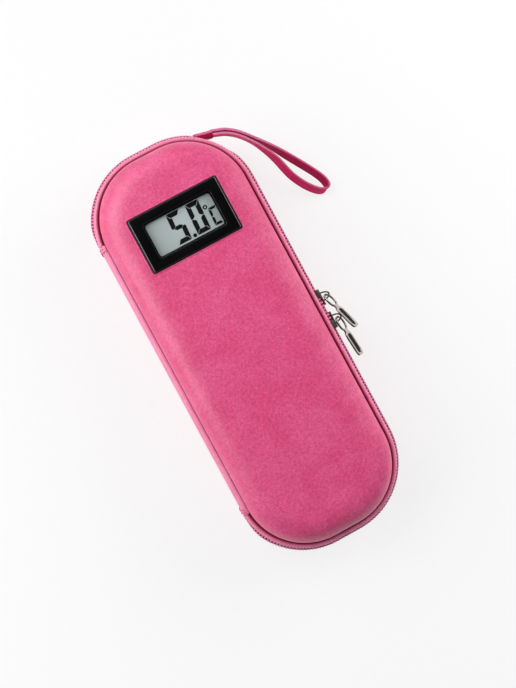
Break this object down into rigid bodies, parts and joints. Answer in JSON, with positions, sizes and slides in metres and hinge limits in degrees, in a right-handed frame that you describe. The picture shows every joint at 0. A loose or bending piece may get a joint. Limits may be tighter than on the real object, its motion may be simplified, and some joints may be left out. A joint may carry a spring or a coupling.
{
  "type": "insulin cooling case",
  "caption": "Slim moulded zip-around case that keeps insulin pens cool over a gel pack, with a panel thermometer let into the lid and a wrist strap at the corner.",
  "frame": {"origin": "centre of the flat back face, on the surface the case lies on", "axes": "+Z from the back face to the front with the thermometer, +Y along the case to the thermometer's end, +X to the side where the zip's sliders meet"},
  "size_m": [0.1269, 0.2244, 0.0493],
  "materials": {
    "pink_leather": "soft matte nap",
    "pink_piping": "satin",
    "zip_tape": "woven",
    "zip_nylon": "satin",
    "nickel": "polished",
    "strap_webbing": "woven",
    "black_plastic": "satin",
    "window_plastic": "polished clear",
    "lcd_glass": "polished",
    "zebra_rubber": "matte",
    "circuit_laminate": "satin",
    "epoxy": "satin",
    "contact_metal": "satin",
    "cell_steel": "brushed",
    "grey_lining": "woven",
    "gel_film": "polished film",
    "black_board": "matte",
    "black_elastic": "woven elastic"
  },
  "bodies": {
    "base": {"back_shell": "pink_leather", "back_rim": "pink_piping", "spine": "pink_leather", "base_zip_tape": "zip_tape", "base_zip_teeth": "zip_nylon", "base_lining": "grey_lining", "strap_tab": "strap_webbing", "wrist_strap": "strap_webbing", "gel_pack": "gel_film", "pen_board": "black_board", "upper_pen_loops": "black_elastic", "lower_pen_loops": "black_elastic"},
    "lid": {"front_shell": "pink_leather", "front_rim": "pink_piping", "lid_zip_tape": "zip_tape", "lid_zip_teeth": "zip_nylon", "lid_lining": "grey_lining", "thermometer_case": "black_plastic", "display_window": "window_plastic", "lcd_panel": "lcd_glass", "zebra_strip": "zebra_rubber", "circuit_board": "circuit_laminate", "control_chip": "epoxy", "thermistor": "epoxy", "cell_contact": "contact_metal", "left_cell": "cell_steel", "right_cell": "cell_steel", "rear_cover": "black_plastic"},
    "upper_slider_body": {"upper_slider": "nickel"},
    "upper_pull_body": {"upper_pull": "nickel"},
    "lower_slider_body": {"lower_slider": "nickel"},
    "lower_pull_body": {"lower_pull": "nickel"},
    "door": {"battery_door": "black_plastic"}
  },
  "joints": [
    {"name": "lid_hinge", "type": "hinge", "parent": "base", "child": "lid", "pos_m": [-0.0451, 0, 0.025], "axis": [0, -1, 0], "range_deg": [0, 180], "deforming": ["spine"]},
    {"name": "upper_slider_slide", "type": "slide", "parent": "base", "child": "upper_slider_body", "axis": [0, 1, 0], "range_m": [0, 0.066], "deforming": ["lid_zip_teeth", "base_zip_teeth"]},
    {"name": "lower_slider_slide", "type": "slide", "parent": "base", "child": "lower_slider_body", "axis": [0, -1, 0], "range_m": [0, 0.058]},
    {"name": "upper_pull_swing", "type": "hinge", "parent": "upper_slider_body", "child": "upper_pull_body", "pos_m": [0.0482, 0.002, 0.025], "axis": [-0.6428, 0, 0.766], "range_deg": [0, 105]},
    {"name": "lower_pull_swing", "type": "hinge", "parent": "lower_slider_body", "child": "lower_pull_body", "pos_m": [0.0482, -0.011, 0.025], "axis": [-0.6428, 0, 0.766], "range_deg": [0, 28]},
    {"name": "battery_door_slide", "type": "slide", "parent": "lid", "child": "door", "axis": [0, -1, 0], "range_m": [0, 0.0125]}
  ]
}
